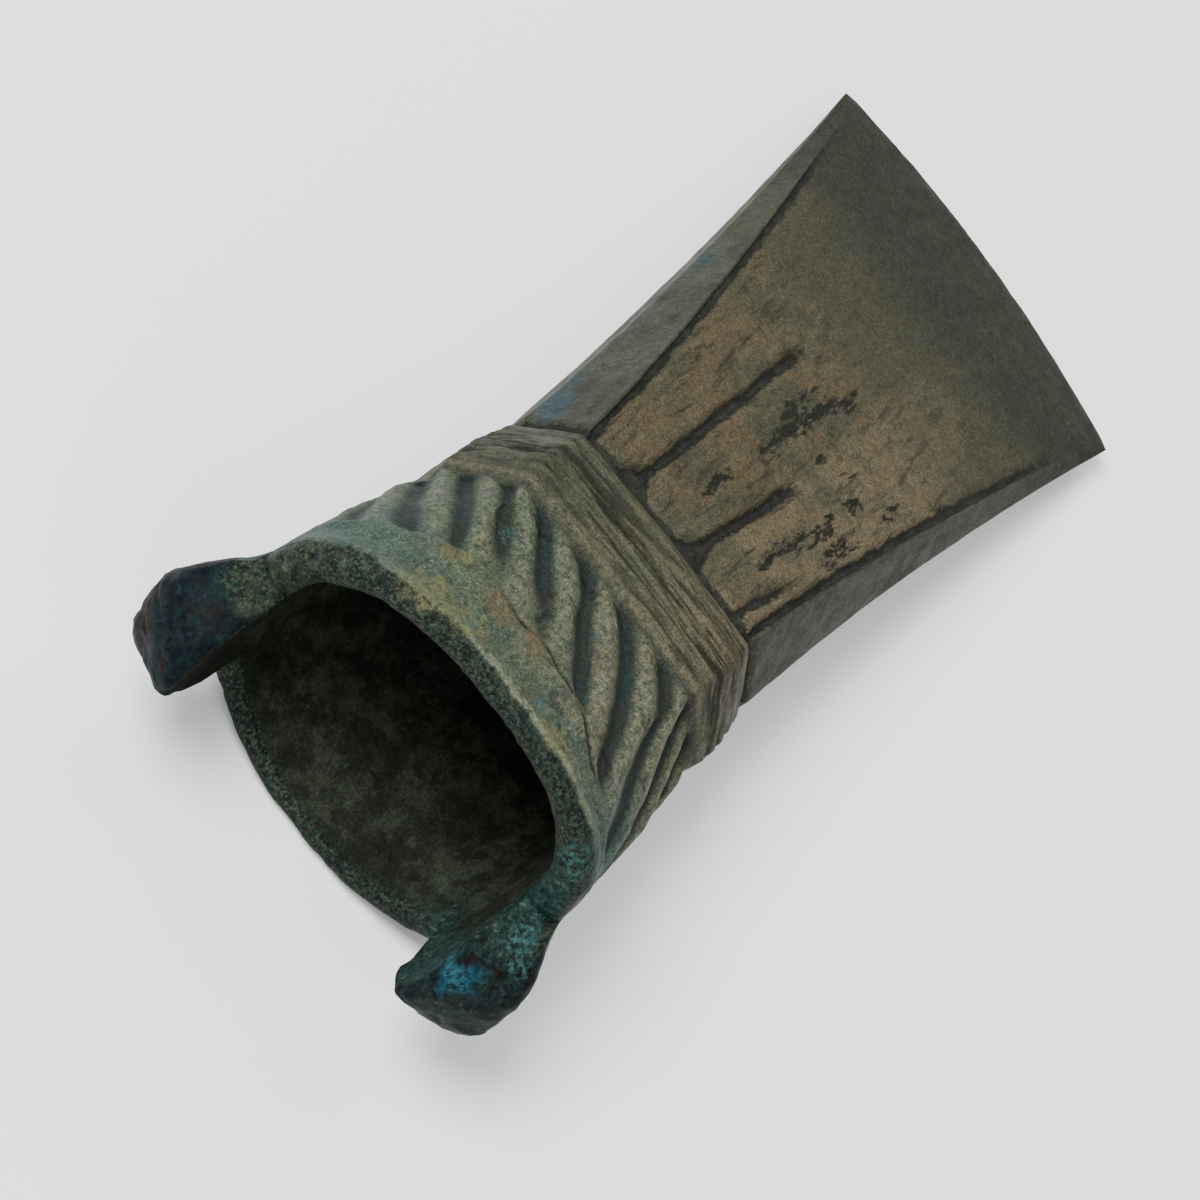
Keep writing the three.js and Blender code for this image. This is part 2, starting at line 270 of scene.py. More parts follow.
def outside(row, g):
    """A point of the outside, with the shares that its colours need."""
    w0, n0 = section(0 * row, g)
    outer_reach = LUG_REACH - LUG_SLOPE
    a = row + lip_shift(w0, n0, outer_reach) * (1 - smooth(row / LIP_FADE))
    w, n = section(np.maximum(0, a), g)
    out_w, out_n = outward(np.maximum(0, a), g)
    bulge = LUG_BULGE * lug_at(w0, n0) * hump(np.maximum(0, a + outer_reach) / (outer_reach + LUG_ROOT))
    valley = flute_valley(a, g)
    band, lines = band_relief(a, g)
    ragged = 0.07 * MM * (np.sin(a / (2.3 * MM) + 3 * g) + np.sin(a / (0.9 * MM) - 5 * g))
    groove = panel_groove(a, w + ragged, np.abs(wrap(g)))
    thin = (half_depth(a) / (WAIST_DEPTH / 2)) ** 0.25
    height = band + bulge - FLUTE_DEPTH * valley - BAND_LINE_DEPTH * lines - GROOVE_DEPTH * thin * groove
    across = 2 * w / EDGE_WIDTH
    late = smooth((a - BAND_END) / (BLADE_REACH - BAND_END))
    bow = (EDGE_BOW * across ** 2 + EDGE_SKEW * across) * late
    place = np.stack([a - bow, w + out_w * height, n + out_n * height], -1)
    return place, {"flute": valley, "line": lines, "groove": groove, "lug": bulge / LUG_BULGE}


def inside(share, g):
    """A point of the socket wall, from the mouth at 0 to the floor at 1."""
    w0, n0 = section(0 * g, g)
    a = mix(lip_shift(w0, n0, LUG_REACH), SOCKET_DEPTH, share)
    down = clamp(a / SOCKET_DEPTH)
    width = mix(MOUTH_WIDTH / 2 - SIDE_WALL, SOCKET_FLOOR_WIDTH / 2, down ** 1.25)
    depth = mix(MOUTH_DEPTH / 2 - LIP_WALL, SOCKET_FLOOR_DEPTH / 2, down ** 1.1)
    w = (w0 - MOUTH_SHIFT) / (MOUTH_WIDTH / 2) * width + MOUTH_SHIFT * (1 - down)
    return np.stack([a, w, n0 / (MOUTH_DEPTH / 2) * depth], -1)


def rim(share, g):
    """A point of the rounded rim between the socket wall and the outside."""
    outer, _ = outside(0 * g, g)
    inner = inside(0, g)
    thickness = np.hypot(outer[..., 1] - inner[..., 1], outer[..., 2] - inner[..., 2])
    angle = math.pi * share
    place = mix(inner, outer, (1 - math.cos(angle)) / 2)
    place[..., 0] -= np.minimum(0.4 * thickness, LUG_ROUND) * math.sin(angle) ** 0.85
    return place


# Weathering

# Profile of the lip, from the dark rim towards the flutes
BEAD_PLACE = 0.0006
BEAD_HALF = 0.0011
HOLLOW_PLACE = 0.0036
HOLLOW_HALF = 0.0025

# Dark scars on the tongues: middle in a and w, half length and half width, in millimetres
SCARS = [
    (48.5, -1, 2.8, 0.8), (61.5, -0.2, 4.4, 1.1), (67.5, -1.8, 3.4, 0.9), (70.5, 0.4, 3.2, 0.8),
    (47, 8.6, 3, 0.6), (52.8, 9.9, 3, 0.8), (57.5, 10.6, 2.4, 1), (56.5, 13.2, 2.6, 0.8),
    (64.6, 11.2, 1.2, 0.9), (64.4, 4.7, 1.7, 0.5), (75, 1.6, 2.2, 0.7), (69, 14.3, 2.4, 0.6),
]

# Hollow of the worn end of each lug
DISH_DEPTH = 0.0008

# Streaks of the band
STREAK_PLACE = 0.0296
STREAK_HALF = 0.0068

# Fine scratches between the scars
HATCH_PLACE = 0.061
HATCH_HALF = 0.023

# How far the wear goes in or out
BEAD_RISE = 0.26 * MM
HOLLOW_DEPTH = 0.3 * MM
CRACK_DEPTH = 0.2 * MM
CRACK_STEP = 0.18 * MM
STREAK_DEPTH = 0.19 * MM
SCAR_DEPTH = 0.18 * MM
PIT_DEPTH = 0.16 * MM
EDGE_WEAR = 0.07 * MM

# Cells of the random table, each way, before it repeats
LATTICE = 48


def unevenness(points, size, seed):
    """Smooth random numbers from about -1 to 1, with lumps of the given size."""
    table = np.random.default_rng(seed).uniform(-1, 1, (LATTICE, LATTICE, LATTICE))
    place = points / size
    cell = np.floor(place).astype(int)
    part = smooth(place - cell)
    value = np.zeros(points.shape[:-1])
    for corner in np.ndindex(2, 2, 2):
        weight = np.prod(np.where(np.array(corner) == 1, part, 1 - part), axis=-1)
        index = (cell + corner) % LATTICE
        value = value + weight * table[index[..., 0], index[..., 1], index[..., 2]]
    return value


def rough(points, size, seed, octaves=3):
    total = 0
    for octave in range(octaves):
        total = total + unevenness(points, size / 2 ** octave, seed + octave) / 2 ** octave
    return total


# The grid of points, from the floor of the socket out over the rim to the cutting edge

def places_round():
    places = []

    def stretch(start, end, count):
        places.extend(mix(start, end, i / count) for i in range(count))

    half_side = POINTS_ROUND["side"] // 2
    stretch(-3, -2, half_side)
    stretch(-2, -1, POINTS_ROUND["front bevel"])
    stretch(-1, 1, POINTS_ROUND["front panel"])
    stretch(1, 2, POINTS_ROUND["front bevel"])
    stretch(2, 4, POINTS_ROUND["side"])
    stretch(4, 5, POINTS_ROUND["back bevel"])
    stretch(5, 7, POINTS_ROUND["back panel"])
    stretch(7, 8, POINTS_ROUND["back bevel"])
    stretch(8, 9, half_side)
    return np.array(places) % STEPS_ROUND


def rows_along():
    """Places along the outside, spaced among the flutes so that each row leans by as much."""
    lip_lean = ((BAND_START - LIP_LENGTH_LEFT + FLUTE_TUCK) / MM) ** FLUTE_POWER
    band_lean = (FLUTE_TUCK / MM) ** FLUTE_POWER
    lean = mix(lip_lean, band_lean, np.arange(ROWS["flutes"]) / ROWS["flutes"])
    flutes = BAND_START + FLUTE_TUCK - lean ** (1 / FLUTE_POWER) * MM
    blade_start = BAND_END + SHOULDER_LENGTH
    return np.concatenate([
        np.linspace(0, LIP_LENGTH_LEFT, ROWS["lip"], endpoint=False),
        flutes,
        np.linspace(BAND_START, BAND_END, ROWS["band"], endpoint=False),
        np.linspace(BAND_END, blade_start, ROWS["shoulder"], endpoint=False),
        np.linspace(blade_start, BLADE_REACH, ROWS["blade"]),
    ])


def leant(g, a):
    return (g + flute_lean(a)) % STEPS_ROUND


def dark_reach(g):
    """How far the dark grain of the rim comes out over the lip."""
    front = 0.2 + 1.1 * hump((wrap(g) + 0.25) / 1.1) + 0.4 * smooth((wrap(g) - 0.2) / 0.6)
    return MM * mix(front, 0.4, smooth(np.abs(wrap(g)) - 2.6))


def make_grid():
    """Points (ring, column, 3) in a, w, n, their g, and the shares that go with them."""
    columns = places_round()
    mouth = leant(columns, np.zeros_like(columns))
    socket = [inside((i / ROWS["socket"]) ** 1.2, mouth) for i in range(ROWS["socket"], 0, -1)]
    edge = [rim(i / ROWS["rim"], mouth) for i in range(ROWS["rim"])]
    rows = rows_along()[:, None]
    skin, shares = outside(rows + 0 * columns[None, :], leant(columns[None, :], rows))
    hidden = len(socket) + len(edge)
    points = np.concatenate([np.stack(socket + edge), skin])
    unseen = np.zeros((hidden, len(columns)))
    shares = {name: np.concatenate([unseen, values]) for name, values in shares.items()}
    ring = np.arange(len(points))[:, None] + 0 * columns[None, :]
    from_rim = (ring - len(socket)) / ROWS["rim"]
    g = np.concatenate([np.tile(mouth, (hidden, 1)), leant(columns[None, :], rows)])
    from_lip = np.concatenate([np.zeros((hidden, 1)), rows]) - dark_reach(g)
    from_lip = from_lip - 0.35 * MM * rough(points, 1.6 * MM, 70)
    add_shares(points, g, from_rim, from_lip, shares)
    return points, g, shares


def add_shares(points, g, from_rim, from_lip, shares):
    """Where each colour and each kind of wear goes, from 0 to 1."""
    a, w, n = points[..., 0], points[..., 1], points[..., 2]
    turn = np.abs(wrap(g))
    shares["socket"] = smooth(1 - from_rim * 2.5)
    shares["rim"] = smooth((from_rim + 0.06) * 8) * smooth(0.5 - from_lip / (0.4 * MM))
    lip = smooth((lip_length(g) - a) / (1 * MM)) * smooth((2.6 - turn) * 2)
    shares["bead"] = hump((from_lip - BEAD_PLACE) / BEAD_HALF) * lip
    shares["hollow"] = hump((from_lip - HOLLOW_PLACE) / HOLLOW_HALF) * lip
    on_skin = 1 - shares["socket"] - shares["rim"]
    shares["panel"] = smooth((a - BAND_END + 0.5 * MM) / (1 * MM)) * smooth((1.02 - turn) * 14) * on_skin
    shares["band"] = smooth((a - band_edge(g)) / (0.6 * MM)) * smooth((BAND_END - a) / (0.8 * MM)) * on_skin
    shares["collar"] = smooth((BAND_START - a) / (1.5 * MM)) * on_skin
    shares["back"] = smooth((turn - 4) / 0.8)
    shares["left"] = smooth(0.4 - wrap(g) / 2.4)
    lug = lug_at(w * 1.2, n) * smooth((1.5 * MM - a) / (5 * MM))
    shares["lug"] = np.maximum(lug * (from_rim > 0.03), shares["lug"])
    near_lug = smooth((w - 14 * MM) / (5 * MM)) * smooth((6 * MM - a) / (5 * MM))
    near_lug = near_lug * smooth((14 * MM - n) / (6 * MM)) * (1 - 0.75 * shares["lug"])
    shares["crust"] = near_lug * smooth((from_rim + 0.35) * 5) * smooth((0.9 - from_rim) * 4)
    near_mouth = smooth((16 * MM - a) / (9 * MM)) * smooth((from_rim - 0.6) * 5)
    shares["teal_side"] = smooth((turn - 0.8) / 0.9) * near_mouth * (1 - shares["back"])
    # Crests of the flutes, which the paint makes lighter with rubbed wear and a painted highlight
    ridged = smooth((band_edge(g) - a) / (0.3 * MM)) * smooth((a - lip_length(g)) / (3 * MM))
    shares["crest"] = ridged * (1 - shares["flute"]) ** 4
    shares["band_edge"] = hump((a - band_edge(g) - 0.7 * MM) / (0.9 * MM)) * on_skin
    shares["right"] = shares["panel"] * smooth((w - 3 * MM) / (3 * MM)) * (1 - shares["back"])
    # Painted shade on the socket wall inside the left lug, which faces away from the light
    shares["lug_inside_shade"] = lug * (from_rim <= 0.03) * (w < 0)
    shares["dish"] = hump((from_rim - 0.5) / 0.42)


def normals_of(points):
    round_way = np.roll(points, -1, axis=1) - np.roll(points, 1, axis=1)
    along = np.gradient(points, axis=0)
    normal = np.cross(along, round_way)
    return normal / (np.linalg.norm(normal, axis=-1, keepdims=True) + 1e-12)


def weather(points, g, shares):
    """Adds what casting, wear and the ground did to the surface."""
    a, w, n = points[..., 0], points[..., 1], points[..., 2]
    turn = wrap(g)
    collar = shares["collar"]
    lug = shares["lug"]
    edge = shares["rim"]
    socket = shares["socket"]
    thick = smooth((BLADE_REACH - a) / (14 * MM))
    height = 0.10 * MM * rough(points, 9 * MM, 1) * thick
    height += 0.03 * MM * rough(points, 1.6 * MM, 5) * thick
    height += (0.08 * collar + 0.20 * lug + 0.14 * edge + 0.12 * socket) * MM * rough(points, 2 * MM, 9)
    height += (0.12 * edge + 0.16 * lug) * MM * rough(points, 5 * MM, 14)
    height -= DISH_DEPTH * lug * shares["dish"]

    # The lip: a bead at the mouth, a hollow behind it, and a thin crack where the flutes begin
    height += BEAD_RISE * shares["bead"] - HOLLOW_DEPTH * shares["hollow"]
    crack_place = lip_length(g) + 0.5 * MM * unevenness(points, 3 * MM, 18)
    crack_reach = smooth((turn + 0.5) * 4) * smooth((1.25 - turn) * 4) * collar
    crack = hump((a - crack_place) / (0.4 * MM)) * crack_reach
    step = smooth((crack_place - a) / (0.5 * MM)) * smooth((a - 3 * MM) / (4 * MM))
    height += crack_reach * (CRACK_STEP * step - CRACK_DEPTH * crack)
    shares["crack"] = crack

    # Lines of the band break up
    stretched = np.stack([a, 0.1 * w, 0.1 * n], -1)
    streak = smooth(rough(stretched, 0.6 * MM, 20) * 2.2 + 0.05)
    streak = streak * shares["band"] * (1 - shares["back"]) * hump((a - STREAK_PLACE) / STREAK_HALF)
    height -= STREAK_DEPTH * streak
    shares["streak"] = streak

    # Scars on the tongues, which run along the blade
    wander_a = a + 1.6 * MM * rough(points * np.array([0.35, 1, 1]), 1.4 * MM, 26)
    wander_w = w + 0.45 * MM * rough(points * np.array([0.5, 1, 1]), 1.2 * MM, 36)
    scar = np.zeros_like(a)
    for middle_a, middle_w, half_length, half_width in SCARS:
        off = np.hypot((wander_a / MM - middle_a) / half_length, (wander_w / MM - middle_w) / half_width)
        scar = np.maximum(scar, smooth(1.4 - 0.8 * off))
    hatch = rough(np.stack([0.2 * a, w, n], -1), 1.1 * MM, 42)
    hatch = smooth((hatch - 0.6) * 3) * hump((a - HATCH_PLACE) / HATCH_HALF)
    hatch = hatch * smooth((w + 4 * MM) / (4 * MM))
    scar = np.maximum(scar, hatch) * shares["panel"] * (1 - shares["back"])
    height -= SCAR_DEPTH * scar ** 2 * thick
    shares["scar"] = scar

    # Pits
    pit = smooth((unevenness(points, 1.1 * MM, 31) - 0.6) * 5)
    pit = pit * (0.15 + 0.85 * np.maximum(np.maximum(lug, edge), 0.5 * collar)) * thick
    height -= PIT_DEPTH * pit
    shares["pit"] = pit
    thinning = smooth((a - (BLADE_REACH - 5 * MM)) / (5 * MM))
    points = points + normals_of(points) * height[..., None]
    points[..., 0] -= EDGE_WEAR * thinning * (1 + rough(points, 2.4 * MM, 48))
    return points


def lay_down(points):
    """From a, w, n to the frame, where the axe head lies on its back."""
    along = np.array([math.cos(TILT), 0, -math.sin(TILT)])
    across = np.array([0, -1, 0])
    up = np.array([math.sin(TILT), 0, math.cos(TILT)])
    placed = points[..., :1] * along + points[..., 1:2] * across + points[..., 2:] * up
    placed = placed + np.array(MOUTH_PLACE)
    placed[..., 2] = np.maximum(0, placed[..., 2])
    return placed


def close_ring(first, count, front_count, facing):
    """A strip of triangles between the front half and the back half of a ring."""
    back_count = count - front_count
    faces = []
    front = 0
    back = 0
    while front < front_count or back < back_count:
        near_front = first + front
        near_back = first + (count - back) % count
        front_behind = front < front_count and front / front_count <= back / back_count
        step_front = back == back_count or front_behind
        following = near_front + 1 if step_front else first + count - back - 1
        face = (near_front, near_back, following) if facing > 0 else (near_front, following, near_back)
        if len(set(face)) == 3:
            faces.append(face)
        front += step_front
        back += not step_front
    return faces


def make_mesh(name, points, shares, places):
    rings, count = points.shape[:2]
    faces = []
    for ring in range(rings - 1):
        for column in range(count):
            here = ring * count + column
            beside = ring * count + (column + 1) % count
            faces.append((here, beside, beside + count, here + count))
    front_count = POINTS_ROUND["side"] + 2 * POINTS_ROUND["front bevel"] + POINTS_ROUND["front panel"]
    faces += close_ring(0, count, front_count, 1)
    faces += close_ring((rings - 1) * count, count, front_count, -1)
    mesh = bpy.data.meshes.new(name)
    mesh.from_pydata(lay_down(points).reshape(-1, 3).tolist(), [], faces)
    for share, values in shares.items():
        layer = mesh.attributes.new(share, "FLOAT", "POINT")
        layer.data.foreach_set("value", np.ascontiguousarray(clamp(values), dtype=np.float32).ravel())
    layer = mesh.attributes.new("axe_place", "FLOAT_VECTOR", "POINT")
    layer.data.foreach_set("vector", np.ascontiguousarray(places, dtype=np.float32).ravel())
    mesh.shade_smooth()
    mesh.validate()
    piece = bpy.data.objects.new(name, mesh)
    bpy.context.collection.objects.link(piece)
    return piece


# Stains, and the pale flecks that are painted glints: middle in a, w, n and radius, all in millimetres
STAINS_AND_GLINTS = {
    "azurite": [(-11.6, 21.3, 1.4, 2.2), (-9.8, 22.4, 3.2, 1.2), (-13, 21.4, -1, 1.2)],
    "turquoise": [(-4.8, 22, 4.6, 2.2), (2.9, -6.4, 19.4, 1.1), (3.2, -2, 19.6, 1), (3, 4.6, 19.6, 1),
                  (-1.2, 19.6, 14, 2.4), (-6.5, 24.4, 3.4, 1.6), (17.5, -11, 16, 1.3), (6, 21.8, 9, 2)],
    "pale_green": [(2, -11.7, 19.2, 3), (3, -7, 19.6, 2.4), (9, -12.5, 17.4, 1.6), (2.4, 8, 19.2, 2)],
    "ochre": [(3.4, -4.2, 19.6, 0.9), (9.2, -1, 18.6, 1.8), (9, -13.4, 17.2, 1.2), (8.4, -6, 18.5, 2)],
    "rust": [(-5.8, 22.5, 4.2, 0.7), (-10.4, 20.7, 2.4, 1), (-9.9, 21.6, 2.4, 1), (-9.3, 22.8, 2.4, 1.1),
             (-8.7, 24, 2.4, 0.8), (-7.8, 21.6, 3.8, 0.6), (-6.6, 23.4, 4, 0.6)],
    "brown": [(-9.4, -23.6, 3.4, 1.5), (-8.4, -23.8, 4.4, 0.9), (-13.6, -22.8, -3.4, 0.8)],
    # Pale flecks on the left lug and the front, painted as glints
    "glint": [(-10.2, -24.3, 2.1, 0.3), (-13.3, -22.4, -0.4, 0.3), (21.6, 3.2, 16.2, 0.45),
              (22.3, 2.4, 16.2, 0.3)],
    "blue": [(42, -19.4, 7, 3), (47, -19.6, 6, 2), (39, -18, 9, 1.6), (76, -21.6, 4.2, 1.6)],
}


def add_stains_and_glints(points, shares):
    wander = points + 0.9 * MM * np.stack([rough(points, 1.9 * MM, seed) for seed in (50, 55, 60)], -1)
    for name, spots in STAINS_AND_GLINTS.items():
        share = np.zeros(points.shape[:-1])
        for a, w, n, radius in spots:
            far = np.linalg.norm(wander - np.array([a, w, n]) * MM, axis=-1) / (radius * MM)
            share = np.maximum(share, smooth((1.25 - far) * 2))
        shares[name] = share


# Materials

# Paint for a surface that is to look white would have this strength
PAINT_SHARE = 0.405

# The patina hardly shines
SPECULAR_LEVEL = 0.055


def tone(red, green, blue):
    """The paint that looks like these screen values, from 0 to 255, in the light of the scene."""
    linear = []
    for value in (red, green, blue):
        value = value / 255
        linear.append(PAINT_SHARE * ((value + 0.055) / 1.055) ** 2.4)
    return (*linear, 1)


class Paint:
    """Adds nodes to a material, and links them."""

    def __init__(self, name):
        self.material = bpy.data.materials.new(name)
        self.material.use_nodes = True
        self.tree = self.material.node_tree
        self.shader = self.tree.nodes["Principled BSDF"]

    def link(self, value, socket):
        if isinstance(value, bpy.types.NodeSocket):
            self.tree.links.new(value, socket)
        else:
            socket.default_value = value

    def share(self, name):
        node = self.tree.nodes.new("ShaderNodeAttribute")
        node.attribute_name = name
        return node.outputs["Fac"]

    def place(self, stretch=(1, 1, 1)):
        node = self.tree.nodes.new("ShaderNodeAttribute")
        node.attribute_name = "axe_place"
        scale = self.tree.nodes.new("ShaderNodeVectorMath")
        scale.operation = "MULTIPLY"
        self.link(node.outputs["Vector"], scale.inputs[0])
        scale.inputs[1].default_value = stretch
        return scale.outputs["Vector"]

    def distance_along(self):
        parts = self.tree.nodes.new("ShaderNodeSeparateXYZ")
        self.link(self.place(), parts.inputs["Vector"])
        return parts.outputs["X"]

    def noise(self, size, detail=4, roughness=0.55, distortion=0.0, stretch=(1, 1, 1)):
        node = self.tree.nodes.new("ShaderNodeTexNoise")
        self.link(self.place(stretch), node.inputs["Vector"])
        node.inputs["Scale"].default_value = 1 / size
        node.inputs["Detail"].default_value = detail
        node.inputs["Roughness"].default_value = roughness
        node.inputs["Distortion"].default_value = distortion
        return node.outputs["Fac"]

    def between(self, value, low, high, to_low=0.0, to_high=1.0):
        node = self.tree.nodes.new("ShaderNodeMapRange")
        node.interpolation_type = "SMOOTHSTEP"
        self.link(value, node.inputs["Value"])
        node.inputs["From Min"].default_value = low
        node.inputs["From Max"].default_value = high
        node.inputs["To Min"].default_value = to_low
        node.inputs["To Max"].default_value = to_high
        return node.outputs["Result"]

    def combine(self, operation, first, second):
        node = self.tree.nodes.new("ShaderNodeMath")
        node.operation = operation
        self.link(first, node.inputs[0])
        self.link(second, node.inputs[1])
        return node.outputs["Value"]

    def blend(self, share, under, over):
        node = self.tree.nodes.new("ShaderNodeMix")
        node.data_type = "RGBA"
        self.link(share, node.inputs["Factor"])
        self.link(under, node.inputs["A"])
        self.link(over, node.inputs["B"])
        return node.outputs["Result"]

    def coat(self, under, over, *shares):
        """Lays a colour over another where all the shares agree."""
        total = shares[0]
        for share in shares[1:]:
            total = self.combine("MULTIPLY", total, share)
        return self.blend(total, under, over)

    def darken(self, colour, factor):
        """Multiplies a colour, which a factor over 1 makes lighter."""
        node = self.tree.nodes.new("ShaderNodeVectorMath")
        node.operation = "SCALE"
        self.link(colour, node.inputs["Vector"])
        self.link(factor, node.inputs["Scale"])
        return node.outputs["Vector"]

    def bump(self, height, strength, distance, normal=None):
        node = self.tree.nodes.new("ShaderNodeBump")
        node.inputs["Strength"].default_value = strength
        node.inputs["Distance"].default_value = distance
        self.link(height, node.inputs["Height"])
        if normal:
            self.link(normal, node.inputs["Normal"])
        return node.outputs["Normal"]


def bronze_patina():
    paint = Paint("bronze_patina")
    share = paint.share
    between = paint.between
    coat = paint.coat
    broad = paint.noise(8 * MM, detail=5, distortion=0.6)
    middle = paint.noise(2.4 * MM, detail=6, roughness=0.65)
    fine = paint.noise(0.75 * MM, detail=5, roughness=0.7)
    speck = paint.noise(0.45 * MM, detail=4, roughness=0.7)
    grit = paint.noise(0.26 * MM, detail=3, roughness=0.7)
    long_way = paint.noise(1.3 * MM, detail=6, roughness=0.68, distortion=0.4, stretch=(0.16, 1, 1))
    torn = paint.noise(1.1 * MM, detail=5, roughness=0.6, distortion=1.2, stretch=(0.38, 1, 1))
    girth = paint.noise(0.55 * MM, detail=5, roughness=0.7, stretch=(1, 0.09, 0.09))
    far = paint.distance_along()

    # Smooth grey-green of the blade's bevels and sides
    colour = paint.blend(between(broad, 0.4, 0.62), tone(72, 75, 62), tone(80, 85, 71))
    colour = coat(colour, tone(58, 72, 75), between(long_way, 0.56, 0.74, 0, 0.35))
    colour = coat(colour, tone(62, 62, 50), between(middle, 0.52, 0.72, 0, 0.6))

    # Tan tongues, with fine streaks along them
    tan = paint.blend(between(broad, 0.4, 0.6), tone(102, 92, 69), tone(84, 85, 68))
    tan = coat(tan, tone(122, 111, 86), share("right"), between(broad, 0.62, 0.42, 0.2, 0.8))
    tan = coat(tan, tone(112, 102, 78), between(long_way, 0.5, 0.36, 0, 0.6))
    tan = coat(tan, tone(60, 59, 48), between(long_way, 0.51, 0.66, 0, 0.8))
    tan = coat(tan, tone(72, 76, 64), between(middle, 0.56, 0.7, 0, 0.6))
    colour = coat(colour, tan, share("panel"), between(middle, 0.15, 0.45, 0.8, 1))

    # The blade turns olive and then dark towards its edge
    olive = paint.blend(between(middle, 0.35, 0.65), tone(74, 74, 58), tone(86, 85, 70))
    colour = coat(colour, olive, between(far, 0.076, 0.086, 0, 0.75), between(broad, 0.25, 0.5, 0.55, 1))
    near_edge = between(far, 0.088, 0.104, 0, 0.8)
    colour = coat(colour, tone(56, 62, 52), near_edge, between(middle, 0.2, 0.5, 0.6, 1))

    # Olive and tan collar
    collar = paint.blend(between(fine, 0.36, 0.64), tone(93, 98, 81), tone(119, 120, 99))
    collar = coat(collar, tone(108, 98, 73), between(broad, 0.44, 0.58, 0, 0.8), between(middle, 0.35, 0.6))
    collar = coat(collar, tone(66, 80, 72), between(middle, 0.52, 0.7, 0, 0.8))
    # Greener patina in the hollow behind the bead, darkened with painted shade
    collar = coat(collar, tone(72, 90, 78), share("hollow"), between(middle, 0.3, 0.6, 0.3, 0.85))
    # The bead of the lip is painted pale: a painted highlight along it
    collar = coat(collar, tone(142, 148, 120), share("bead"), between(fine, 0.3, 0.55, 0.3, 0.9))
    collar = coat(collar, tone(84, 104, 86), share("left"), between(middle, 0.3, 0.55, 0.2, 0.8))
    side = paint.blend(between(middle, 0.42, 0.6), tone(54, 82, 80), tone(92, 112, 98))
    side = coat(side, tone(116, 112, 88), between(fine, 0.56, 0.66, 0, 0.6), between(broad, 0.42, 0.54))
    collar = coat(collar, side, share("teal_side"))
    # Lighter crests between the flutes: rubbed wear and a painted highlight
    collar = coat(collar, tone(132, 130, 108), share("crest"), between(fine, 0.36, 0.6, 0, 0.75))
    collar = coat(collar, tone(136, 144, 122), between(speck, 0.57, 0.68, 0, 0.65))
    collar = coat(collar, tone(48, 60, 53), between(speck, 0.43, 0.33, 0, 0.65))
    colour = coat(colour, collar, share("collar"))

    # Band
    band = paint.blend(between(broad, 0.4, 0.6), tone(118, 111, 88), tone(104, 104, 84))
    band = coat(band, tone(62, 60, 48), between(girth, 0.47, 0.6, 0, 0.8))
    band = coat(band, tone(74, 83, 67), share("left"), between(middle, 0.3, 0.6, 0.3, 0.8))
    colour = coat(colour, band, share("band"))
    colour = coat(colour, tone(40, 40, 33), share("streak"), between(fine, 0.25, 0.6, 0.6, 1))
    colour = coat(colour, tone(58, 58, 48), share("line"), between(girth, 0.4, 0.65, 0, 0.5))
    colour = coat(colour, tone(112, 110, 88), share("band_edge"), between(fine, 0.35, 0.6, 0.1, 0.8))

    # Dirt in the flutes, grooves and scars; the flute valleys also carry painted shade
    # Dark colour in the flute valleys: dirt and painted shade
    deep = paint.blend(between(middle, 0.42, 0.6), tone(48, 53, 46), tone(42, 57, 57))
    colour = coat(colour, deep, between(share("flute"), 0.25, 0.85), between(fine, 0.2, 0.6, 0.7, 1))
    dirt = paint.blend(between(middle, 0.4, 0.6), tone(42, 44, 40), tone(60, 61, 54))
    ragged = paint.combine("ADD", share("groove"), between(middle, 0.3, 0.7, -0.35, 0.3))
    colour = coat(colour, dirt, between(ragged, 0.28, 0.6), between(share("groove"), 0.04, 0.2))
    ragged = paint.combine("ADD", share("scar"), between(torn, 0.3, 0.7, -0.75, 0.75))
    colour = coat(colour, tone(46, 47, 40), between(ragged, 0.35, 1), between(share("scar"), 0.04, 0.2))
    colour = coat(colour, tone(34, 34, 27), share("crack"))

    # Socket, rim and lugs
    socket = paint.blend(between(middle, 0.4, 0.6), tone(42, 46, 36), tone(64, 70, 57))
    socket = coat(socket, tone(30, 33, 25), between(broad, 0.48, 0.62, 0, 0.7))
    pale = between(fine, 0.56, 0.7, 0, 0.7)
    socket = coat(socket, tone(66, 84, 78), pale, between(broad, 0.4, 0.55, 1, 0.2))
    colour = coat(colour, socket, share("socket"))
    rim = paint.blend(between(speck, 0.42, 0.6), tone(24, 34, 29), tone(72, 82, 66))
    rim = coat(rim, tone(26, 52, 52), between(fine, 0.5, 0.6, 0, 0.8))
    rim = coat(rim, tone(86, 94, 74), share("left"), between(speck, 0.52, 0.62, 0, 0.6))
    colour = coat(colour, rim, share("rim"))
    left = paint.blend(between(middle, 0.42, 0.58), tone(9, 25, 36), tone(22, 43, 45))
    right = paint.blend(between(middle, 0.42, 0.58), tone(10, 20, 24), tone(24, 38, 37))
    teal = paint.blend(share("left"), right, left)
    teal = coat(teal, tone(42, 60, 56), between(fine, 0.54, 0.68, 0, 0.75))
    teal = coat(teal, tone(34, 27, 21), between(broad, 0.54, 0.62, 0, 0.8))
    teal = coat(teal, tone(5, 6, 8), between(fine, 0.46, 0.34, 0, 0.85))
    colour = coat(colour, teal, between(share("lug"), 0.4, 0.6))
    # Painted shade on the socket wall inside the left lug
    colour = coat(colour, tone(22, 23, 18), share("lug_inside_shade"), between(fine, 0.3, 0.6, 1, 0.7))
    crust = paint.blend(between(fine, 0.4, 0.58), tone(24, 50, 48), tone(46, 79, 73))
    crust = coat(crust, tone(112, 116, 84), between(fine, 0.58, 0.66, 0, 0.9), between(middle, 0.4, 0.55))
    colour = coat(colour, crust, share("crust"), between(middle, 0.25, 0.5, 0.55, 1))
    colour = coat(colour, tone(24, 27, 25), share("pit"), between(fine, 0.2, 0.5, 0.4, 0.9))

